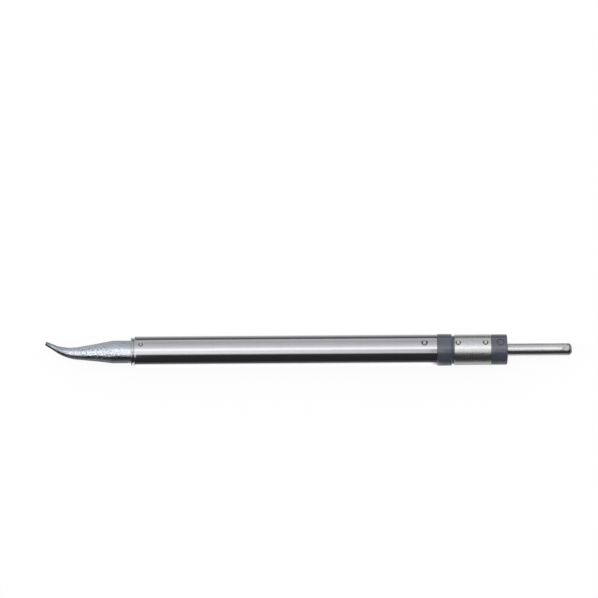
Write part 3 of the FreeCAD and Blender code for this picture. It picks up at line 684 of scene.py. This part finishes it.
class CARTRIDGE_OT_barrel(bpy.types.Operator):
    """Long steel tube with its two pressed dimples"""

    bl_idname = "cartridge.barrel"
    bl_label = "Barrel"

    def execute(self, context):
        shape = context.scene.cartridge_shape
        spots = (
            (MOUTH + shape.front_dimple_place, shape.front_dimple_width, shape.front_dimple_depth),
            (BARREL_END - shape.rear_dimple_place, shape.rear_dimple_width, shape.rear_dimple_depth),
        )
        inner = BARREL_RADIUS - shape.barrel_wall
        reach, fine = BARREL_REACH
        rings = stations(
            MOUTH + 2 * shape.barrel_rim, BARREL_END - 2 * shape.barrel_rim,
            [spot for spot, _, _ in spots], reach,
        )
        bm = turned(shape.steps, [
            (BARREL_END, inner, shape.fine_edge),
            (BARREL_END, BARREL_RADIUS, shape.barrel_rim),
            *((place, BARREL_RADIUS, 0.0) for place in reversed(rings)),
            (MOUTH, BARREL_RADIUS, shape.barrel_rim),
            (MOUTH, inner, shape.fine_edge),
        ])
        for along, width, depth in spots:
            refine(bm, along, shape.mark_turn, BARREL_RADIUS, fine, cuts=2)
            press(bm, along, shape.mark_turn, BARREL_RADIUS, width, depth)
        # Places and widths of the dimples, for the painted shade on their wall.
        shaded_spots = [(along, width) for along, width, _ in spots]
        finish = barrel_finish(context.scene.cartridge_finish, shape.mark_turn, shaded_spots)
        finish_piece("barrel_tube", bm, "barrel", finish, sharp=50.0)
        return {"FINISHED"}


class CARTRIDGE_OT_bush(bpy.types.Operator):
    """Bush between the barrel and the bit: bead, groove and insert"""

    bl_idname = "cartridge.bush"
    bl_label = "Bush"

    def execute(self, context):
        shape = context.scene.cartridge_shape
        look = context.scene.cartridge_finish
        front = BUSH_LOW.x
        bead_end = front + shape.bush_bead_length
        bead = BARREL_RADIUS - shape.bush_bead_step
        insert = BARREL_RADIUS - shape.barrel_wall - FIT_GAP
        bore = shape.shank_radius + FIT_GAP
        bm = turned(shape.steps, [
            (front, bore, shape.bush_edge),
            (BUSH_HIGH.x, bore, 0.0),
            (BUSH_HIGH.x, insert, shape.bush_edge),
            (MOUTH + FIT_GAP, insert, shape.fine_edge),
            (MOUTH + FIT_GAP, shape.bush_groove_radius, 0.0),
            (bead_end, shape.bush_groove_radius, 0.0),
            (bead_end, bead, shape.bush_edge),
            (front, bead, shape.bead_edge),
        ])
        finish = brushed_finish("bush_steel", look.bush, look.bush_roughness)
        finish_piece("bush_collar", bm, "bit_bush", finish)
        return {"FINISHED"}


# Sections along the bit's straight cone, its bend, its tail and its rounded end, and sides of each.
CONE_STEPS = 16
BEND_STEPS = 24
TAIL_STEPS = 8
ROUND_STEPS = 5
ROUND_SEGMENTS = 96
# Last section of the neck, and share of the cone in which its sections turn square to it.
NECK_END = 0.3 * MM
TURN_SHARE = 1 / 6


class CARTRIDGE_OT_bit(bpy.types.Operator):
    """Plated bit: core, shoulder, shank and bent cone in one skin"""

    bl_idname = "cartridge.bit"
    bl_label = "Bit"

    def sections(self, shape):
        """(along, across, heading, radius) of each round section, from the core to the working end."""
        seat = BUSH_HIGH.x + FIT_GAP
        shoulder = seat + shape.shoulder_length
        corner = MOUTH - shape.cone_place
        step = BUSH_LOW.x
        found = [
            (BIT_HIGH.x, 0.0, 0.0, shape.core_radius),
            (shoulder, 0.0, 0.0, shape.core_radius),
            (shoulder, 0.0, 0.0, shape.shoulder_radius),
            (seat, 0.0, 0.0, shape.shoulder_radius),
            (seat, 0.0, 0.0, shape.shank_radius),
            (step - FIT_GAP, 0.0, 0.0, shape.shank_radius),
            (step - shape.neck_step, 0.0, 0.0, shape.neck_radius),
            (corner + NECK_END, 0.0, 0.0, shape.neck_radius),
        ]
        slope, turn = shape.set_turn, shape.bend_turn
        tail_run = (shape.bend_tail - shape.end_round) * cos(turn) + shape.end_round
        tail_run += (shape.end_radius - shape.end_round) * sin(turn)
        bend_run = shape.bend_radius * (sin(slope) + sin(turn))
        run = corner - BIT_LOW.x - bend_run - tail_run
        drop = run * tan(slope)
        halves = ((shape.neck_radius, shape.waist_radius), (shape.waist_radius, shape.bend_start_radius))
        for i in range(CONE_STEPS + 1):
            at = i / CONE_STEPS
            half = int(at > 0.5)
            wide, narrow = halves[half]
            radius = wide + (narrow - wide) * (at * 2.0 - half)
            found.append((corner - run * at, -drop * at, -slope * min(1.0, at / TURN_SHARE), radius))
        for i in range(1, BEND_STEPS + 1):
            at = i / BEND_STEPS
            heading = -slope + (slope + turn) * at
            along = corner - run - shape.bend_radius * (sin(heading) + sin(slope))
            across = shape.bend_radius * (cos(slope) - cos(heading)) - drop
            taper = shape.bend_start_radius * (1.0 - at) + shape.bend_end_radius * at
            found.append((along, across, heading, taper + 4.0 * shape.bend_swell * at * (1.0 - at)))
        along, across, _, last = found[-1]
        tail = shape.bend_tail - shape.end_round
        for i in range(1, TAIL_STEPS + 1):
            at = i / TAIL_STEPS
            radius = last + (shape.end_radius - last) * at
            found.append((along - tail * at * cos(turn), across + tail * at * sin(turn), turn, radius))
        for i in range(1, ROUND_STEPS + 1):
            lean = i / ROUND_STEPS * pi / 2
            past = tail + shape.end_round * sin(lean)
            radius = shape.end_radius - shape.end_round * (1.0 - cos(lean))
            found.append((along - past * cos(turn), across + past * sin(turn), turn, radius))
        return found

    def section_matrix(self, along, across, heading, radius):
        """Takes a circle of radius 1 to one section of the bit."""
        return (
            Matrix.Translation((along, across, AXIS_HEIGHT))
            @ Matrix.Rotation(-heading, 4, "Z")
            @ Matrix.Rotation(pi / 2, 4, "Y")
            @ Matrix.Scale(radius, 4)
        )

    def execute(self, context):
        shape = context.scene.cartridge_shape
        first, *rest = (self.section_matrix(*section) for section in self.sections(shape))
        bm = bmesh.new()
        bmesh.ops.create_circle(bm, cap_ends=True, radius=1.0, segments=ROUND_SEGMENTS, matrix=first)
        rim = bm.edges[:]
        for matrix in rest:
            made = bmesh.ops.extrude_edge_only(bm, edges=rim)["geom"]
            verts = [v for v in made if isinstance(v, bmesh.types.BMVert)]
            rim = [e for e in made if isinstance(e, bmesh.types.BMEdge)]
            bmesh.ops.transform(bm, matrix=matrix @ first.inverted(), verts=verts)
            first = matrix
        bmesh.ops.holes_fill(bm, edges=rim, sides=0)
        bmesh.ops.recalc_face_normals(bm, faces=bm.faces)
        finish = plating_finish(context.scene.cartridge_finish)
        finish_piece("bit_cone", bm, "soldering_bit", finish)
        return {"FINISHED"}


# Sections of the rear face's dome, and where the rear collar's rings stop short of its rim.
DOME_PARTS = (0.2, 0.4, 0.6, 0.8)
RING_STOP = 0.3 * MM
# How steep the walls of the moulded circle's line are: 1 is an even slope to its middle.
CIRCLE_WALL = 2.5


class CARTRIDGE_OT_plug(bpy.types.Operator):
    """Moulded plug: both collars, neck, rear face and its moulded circle"""

    bl_idname = "cartridge.plug"
    bl_label = "Plug"

    def execute(self, context):
        shape = context.scene.cartridge_shape
        spigot = BARREL_RADIUS - shape.barrel_wall - FIT_GAP
        collar_at = BARREL_END + FIT_GAP
        neck_at = BARREL_END + shape.front_collar_length
        root_at = neck_at + shape.pin_root_place - FIT_GAP
        rear_at = RING_HIGH.x + FIT_GAP
        rear = BARREL_RADIUS - shape.rear_collar_drop
        rim_at = PLUG_HIGH.x - shape.rear_rise
        tail_bore = shape.pin_tail_radius + FIT_GAP
        bore = shape.pin_root_radius + FIT_GAP
        spot = rear_at + shape.circle_place
        reach, fine = CIRCLE_REACH
        rings = stations(rear_at + FIT_GAP, rim_at - RING_STOP, [spot], reach)
        drafted = rear - shape.collar_draft
        face = drafted - shape.face_margin
        dome = [
            (rim_at + shape.rear_rise * (1.0 - part * part), bore + (face - bore) * part, 0.0)
            for part in DOME_PARTS
        ]
        bm = turned(shape.steps, [
            (PLUG_LOW.x, tail_bore, 0.0),
            (root_at, tail_bore, 0.0),
            (root_at, bore, 0.0),
            (PLUG_HIGH.x, bore, shape.fine_edge),
            *dome,
            (rim_at, drafted, shape.rear_rim),
            *((place, rear, 0.0) for place in reversed(rings)),
            (rear_at, rear, shape.rear_collar_edge),
            (rear_at, shape.plug_neck_radius, 0.0),
            (neck_at, shape.plug_neck_radius, shape.neck_edge),
            (neck_at, COLLAR_RADIUS - shape.collar_draft, shape.collar_rim),
            (collar_at, COLLAR_RADIUS, shape.collar_front_rim),
            (collar_at, spigot, 0.0),
            (PLUG_LOW.x, spigot, shape.spigot_edge),
        ])
        refine(bm, spot, shape.mark_turn, rear, fine, cuts=3)
        self.sink_circle(bm, spot, shape, rear)
        finish = plastic_finish(context.scene.cartridge_finish)
        finish_piece("plug_moulding", bm, "connector_body", finish, sharp=35.0)
        return {"FINISHED"}

    def sink_circle(self, bm, spot, shape, rear):
        """Sinks the moulded circle's line in the rear collar."""
        for vert in bm.verts:
            away = from_spot(vert.co, spot, shape.mark_turn, rear) - shape.circle_radius
            part = abs(away) / (shape.circle_line / 2)
            if part < 1.0 and on_skin(vert, rear):
                present, _ = polar(vert.co)
                set_radius(vert, present - shape.circle_depth * min(1.0, (1.0 - part) * CIRCLE_WALL))


class CARTRIDGE_OT_contacts(bpy.types.Operator):
    """Rolled ring contact with its seam and dimples, and the round-nosed pin"""

    bl_idname = "cartridge.contacts"
    bl_label = "Contacts"

    def build_ring(self, shape, look):
        """The ring: an open turn of sheet with rounded edges."""
        inner = RING_RADIUS - shape.ring_wall
        spots = (RING_LOW.x + shape.ring_dimple_front, RING_HIGH.x - shape.ring_dimple_rear)
        reach, fine = RING_REACH
        rings = stations(RING_LOW.x + 2 * shape.ring_rim, RING_HIGH.x - 2 * shape.ring_rim, spots, reach)
        gap = shape.seam_gap / RING_RADIUS
        seam = shape.mark_turn - shape.seam_turn
        bm = turned(shape.steps, [
            (RING_LOW.x, inner, 0.0),
            *((place, inner, 0.0) for place in rings),
            (RING_HIGH.x, inner, 0.0),
            (RING_HIGH.x, RING_RADIUS, shape.ring_rim),
            *((place, RING_RADIUS, 0.0) for place in reversed(rings)),
            (RING_LOW.x, RING_RADIUS, shape.ring_rim),
        ], tau - gap, gap / 2 - seam)
        for spot in spots:
            refine(bm, spot, shape.mark_turn, RING_RADIUS, fine, cuts=2)
            press(bm, spot, shape.mark_turn, RING_RADIUS, shape.ring_dimple_width, shape.ring_dimple_depth)
        # Places and widths of the dimples, for the painted shade on their wall.
        shaded_spots = [(spot, shape.ring_dimple_width) for spot in spots]
        finish = tin_finish(
            "ring_tin", look.tin, look.ring_roughness, warm=0.6, dimples=(RING_RADIUS, shape.mark_turn, shaded_spots)
        )
        finish_piece("ring_contact", bm, "contact_ring", finish, sharp=45.0)

    def build_pin(self, shape, look):
        """The pin: cup, tail, root and round-nosed free end."""
        root_at = BARREL_END + shape.front_collar_length + shape.pin_root_place
        cup_end = PIN_LOW.x + shape.pin_cup_depth
        rear = PLUG_HIGH.x
        middle = PIN_HIGH.x - shape.pin_nose
        flat = shape.pin_radius - shape.pin_nose
        leans = [i / ROUND_SEGMENTS * tau for i in range(ROUND_SEGMENTS // 4 + 1)]
        nose = [(middle + shape.pin_nose * cos(a), flat + shape.pin_nose * sin(a), 0.0) for a in leans]
        bm = turned(shape.steps, [
            (PIN_LOW.x, shape.pin_cup_radius, 0.0),
            (cup_end, shape.pin_cup_radius, 0.0),
            (cup_end, 0.0, 0.0),
            (PIN_HIGH.x, 0.0, 0.0),
            *nose,
            (rear, shape.pin_radius, 0.0),
            (rear, shape.pin_root_radius, shape.fine_edge),
            (root_at, shape.pin_root_radius, 0.0),
            (root_at, shape.pin_tail_radius, 0.0),
            (PIN_LOW.x, shape.pin_tail_radius, 0.0),
        ])
        worn_from = PIN_HIGH.x - shape.worn_end
        finish = tin_finish("pin_nickel", look.nickel, look.pin_roughness, warm=0.1, worn_from=worn_from)
        finish_piece("pin_contact", bm, "contact_pin", finish, sharp=45.0)

    def execute(self, context):
        shape = context.scene.cartridge_shape
        look = context.scene.cartridge_finish
        self.build_ring(shape, look)
        self.build_pin(shape, look)
        return {"FINISHED"}


class CARTRIDGE_OT_heater(bpy.types.Operator):
    """Finishes of the heater and of the conductor inside the barrel"""

    bl_idname = "cartridge.heater"
    bl_label = "Inside pieces"

    def execute(self, context):
        look = context.scene.cartridge_finish
        dress(brushed_finish("magnetic_alloy", look.alloy, 0.34), "alloy_sleeve", "shield_tube")
        copper = brushed_finish("coil_wire", look.copper, 0.26)
        dress(copper, "heater_coil", "coil_lead_front", "coil_lead_rear")
        dress(brushed_finish("rod_copper", look.copper, 0.3, ring_scale=5000.0), "inner_conductor")
        dress(tin_finish("tinned_brass", look.brass, 0.3), "lead_crimp", "return_strap")
        ceramic = dull_finish("former_ceramic", look.ceramic, 0.75)
        dress(ceramic, "coil_former", "heater_end_disc", "spacer_front", "spacer_rear")
        dress(dull_finish("jacket_film", look.film, 0.3, grain_scale=2500.0), "coil_jacket")
        liner = dull_finish("white_liner", look.liner, 0.5, grain_scale=3000.0, depth=0.005 * MM)
        dress(liner, "conductor_sleeve")
        return {"FINISHED"}


# Brightness of the studio round the axis: degrees from overhead towards -Y, and level.
STUDIO = (
    (-180, 0.6), (-92, 0.6), (-80, 0.54), (-71, 0.48), (-60, 0.56), (-45, 0.64), (-36, 0.74), (-29, 0.86),
    (-22, 1.14), (-16, 1.38), (-8, 1.34), (0, 1.12), (12, 1.18), (18, 0.78), (23, 0.16), (28, 0.03),
    (86, 0.024), (96, 0.5), (108, 1.3),
)
# Brightness of the floor as the metal mirrors it: millimetres across the axis, and level.
FLOOR = (
    (-32, 0.03), (-21, 0.45), (-16.5, 0.95), (-11.5, 1.4), (2, 1.4), (5, 0.6), (8, 0.34), (12, 0.06),
    (25, 0.07), (60, 0.65),
)
# Highest level of both ramps, and how far the floor's goes to either side.
PEAK = 1.4
FLOOR_REACH = 90 * MM
# Dip of the studio overhead: degrees of its start and its end, where it starts along the axis, and depth.
DIP = ((-13, -3), (13, 19))
DIP_ALONG = (-0.015, 0.03)
DIP_DEPTH = 0.55
# Fade of what is mirrored from beyond both ends: where along the axis, and depth.
ENDS = (0.3, 0.62)
ENDS_DEPTH = 0.55
# Light that isn't mirrored, above the bands' own level.
FILL = 0.75
# Size of the floor, and its share of plain brightness in camera, mirrored and transmitted rays.
FLOOR_SIZE = 3.0
FLOOR_LIT = (0.92, 0.95, 0.9)
# Where the mirrored floor changes beside the bit and beside the contacts, and from side to side.
BESIDE_BIT = (MOUTH - 1.7 * MM, MOUTH - 0.5 * MM)
BESIDE_CONTACTS = (BARREL_END - MM, BARREL_END + MM)
SIDES = (-2 * MM, 2 * MM)
# How much of the floor's brightness the bit and the contacts meet on their lower side.
BIT_SHARE = 0.12
CONTACT_SHARE = 0.33
# Level of the floor that the bit meets on its upper side.
BIT_SKY = 0.4
# Soft card beside the bit: ends along the axis, sides and fade in degrees from overhead towards -Y.
CARD_ENDS = (BIT_LOW.x - 12 * MM, MOUTH - 2 * MM)
CARD_TURNS = (12, 46)
CARD_FADE = (14, 46)
CARD_FALL = 0.9
CARD_DISTANCE = 36 * MM
CARD_LEVEL = 1.45


class CARTRIDGE_OT_stage(bpy.types.Operator):
    """Pale floor, soft studio light and a camera that looks straight down"""

    bl_idname = "cartridge.stage"
    bl_label = "Stage"

    def build_floor(self, stage):
        """A pale floor that is white to the camera and keeps the cartridge's shadow."""
        finish = Finish("floor")
        along, across, _ = finish.parts(finish.node("TexCoord").outputs["Object"])
        rays = finish.rays("Camera", "Glossy", "Transmission")
        _, glossy, _ = rays
        low_side = 1.0 - across.between(*SIDES)
        by_bit = 1.0 - along.between(*BESIDE_BIT)
        by_contacts = along.between(*BESIDE_CONTACTS) * low_side
        mirrored = finish.ramp(across * (0.5 / FLOOR_REACH) + 0.5, FLOOR, FLOOR_REACH / MM)
        below_bit = mirrored * low_side * BIT_SHARE + (1.0 - low_side) * (BIT_SKY / PEAK)
        elsewhere = mirrored * (1.0 - by_contacts * (1.0 - CONTACT_SHARE))
        mirrored = elsewhere * (1.0 - by_bit) + below_bit * by_bit
        finish.set(Base_Color=tuple(stage.floor_colour), Roughness=0.9, Specular_IOR_Level=0.0)
        white = finish.glow("Emission", (1.0 - glossy) * (1.0 / PEAK) + glossy * mirrored, PEAK)
        lit = sum(ray * part for ray, part in zip(rays, FLOOR_LIT)).clamp()
        finish.show(finish.mix_shaders(lit, finish.shader.outputs["BSDF"], white))
        bm = bmesh.new()
        bmesh.ops.create_grid(bm, x_segments=1, y_segments=1, size=FLOOR_SIZE)
        floor = add_object("floor", bm, finish)

    def build_card(self):
        """A soft card beside the bit that shows only in what it mirrors."""
        finish = Finish("bit_card")
        _, across, up = finish.parts(finish.place)
        fade = finish.math("ARCTAN2", across * -1.0, up).between(*map(radians, CARD_FADE))
        finish.show(finish.glow("Emission", 1.0 - fade * CARD_FALL, CARD_LEVEL))
        low, high = CARD_TURNS
        width = 2 * CARD_DISTANCE * tan(radians(high - low) / 2)
        ahead, behind = CARD_ENDS
        bm = bmesh.new()
        bmesh.ops.create_grid(
            bm, x_segments=1, y_segments=1, size=0.5,
            matrix=Matrix.Translation((0.0, 0.0, AXIS_HEIGHT))
            @ Matrix.Rotation(radians(low + high) / 2, 4, "X")
            @ Matrix.Translation(((ahead + behind) / 2, 0.0, CARD_DISTANCE))
            @ Matrix.Diagonal((behind - ahead, width, 1.0, 1.0)),
        )
        card = add_object("bit_card", bm, finish)
        card.visible_camera = card.visible_diffuse = card.visible_shadow = card.visible_transmission = False

    def build_light(self, scene):
        """A studio whose brightness changes only round the cartridge's axis."""
        world = bpy.data.worlds.new("studio")
        scene.world = world
        world.use_nodes = True
        world.node_tree.nodes.clear()
        sky = Nodes(world.node_tree)
        along, across, up = sky.parts(sky.node("TexCoord").outputs["Generated"])
        camera, glossy = sky.rays("Camera", "Glossy")
        round_axis = sky.math("ARCTAN2", across * -1.0, up)
        ramp = sky.ramp(round_axis * (1.0 / tau) + 0.5, STUDIO, 180.0)
        from_top, past_top = (round_axis.between(radians(low), radians(high)) for low, high in DIP)
        dip = (from_top - past_top) * along.between(*DIP_ALONG) * DIP_DEPTH
        ends = along.math("ABSOLUTE").between(*ENDS) * glossy * ENDS_DEPTH
        fill = (1.0 - glossy) * FILL + 1.0
        bands = sky.glow("Background", ramp * (1.0 - dip) * (1.0 - ends) * fill, PEAK)
        plain = sky.glow("Background", (1.0, 1.0, 1.0), 1.0)
        sky.node("OutputWorld", {"Surface": sky.mix_shaders(camera, bands, plain)})

    def build_camera(self, scene, stage):
        """A long lens straight above, at the photo's place and scale."""
        data = bpy.data.cameras.new("camera")
        data.sensor_width = SENSOR_MM
        data.lens = SENSOR_MM * stage.camera_height / (stage.pixel * IMAGE_PIXELS)
        camera = bpy.data.objects.new("camera", data)
        up = Vector((sin(stage.roll), cos(stage.roll), 0.0))
        middle = Vector((stage.look_x, 0.0, AXIS_HEIGHT + stage.camera_height)) + up * stage.look_up
        camera.matrix_world = Matrix.Translation(middle) @ Matrix.Rotation(-stage.roll, 4, "Z")
        scene.collection.objects.link(camera)
        scene.camera = camera

    def execute(self, context):
        scene = context.scene
        stage = scene.cartridge_stage
        self.build_floor(stage)
        self.build_card()
        self.build_light(scene)
        self.build_camera(scene, stage)
        scene.view_settings.view_transform = "Standard"
        return {"FINISHED"}


OPERATORS = (
    CARTRIDGE_OT_barrel,
    CARTRIDGE_OT_bush,
    CARTRIDGE_OT_bit,
    CARTRIDGE_OT_plug,
    CARTRIDGE_OT_contacts,
    CARTRIDGE_OT_heater,
    CARTRIDGE_OT_stage,
)
GROUPS = (
    ("cartridge_shape", CartridgeShape),
    ("cartridge_finish", CartridgeFinish),
    ("cartridge_stage", CartridgeStage),
)


class CARTRIDGE_PT_panel(bpy.types.Panel):
    """The cartridge's sizes, colours and operators"""

    bl_label = "Cartridge"
    bl_idname = "CARTRIDGE_PT_panel"
    bl_space_type = "VIEW_3D"
    bl_region_type = "UI"
    bl_category = "Cartridge"

    def draw(self, context):
        layout = self.layout
        for operator in OPERATORS:
            layout.operator(operator.bl_idname)
        for name, group in GROUPS:
            box = layout.box()
            for key in group.__annotations__:
                box.prop(getattr(context.scene, name), key)


CLASSES = (*(group for _, group in GROUPS), *OPERATORS, CARTRIDGE_PT_panel)


def register():
    """Registers the classes and their settings on the scene."""
    for kind in CLASSES:
        bpy.utils.register_class(kind)
    for name, group in GROUPS:
        setattr(bpy.types.Scene, name, PointerProperty(type=group))


def unregister():
    """Removes what register added."""
    for name, _ in GROUPS:
        delattr(bpy.types.Scene, name)
    for kind in reversed(CLASSES):
        bpy.utils.unregister_class(kind)


def main():
    """Builds every piece and the stage."""
    register()
    for operator in OPERATORS:
        family, name = operator.bl_idname.split(".")
        getattr(getattr(bpy.ops, family), name)()
    bpy.context.view_layer.update()


if __name__ == "__main__":
    main()
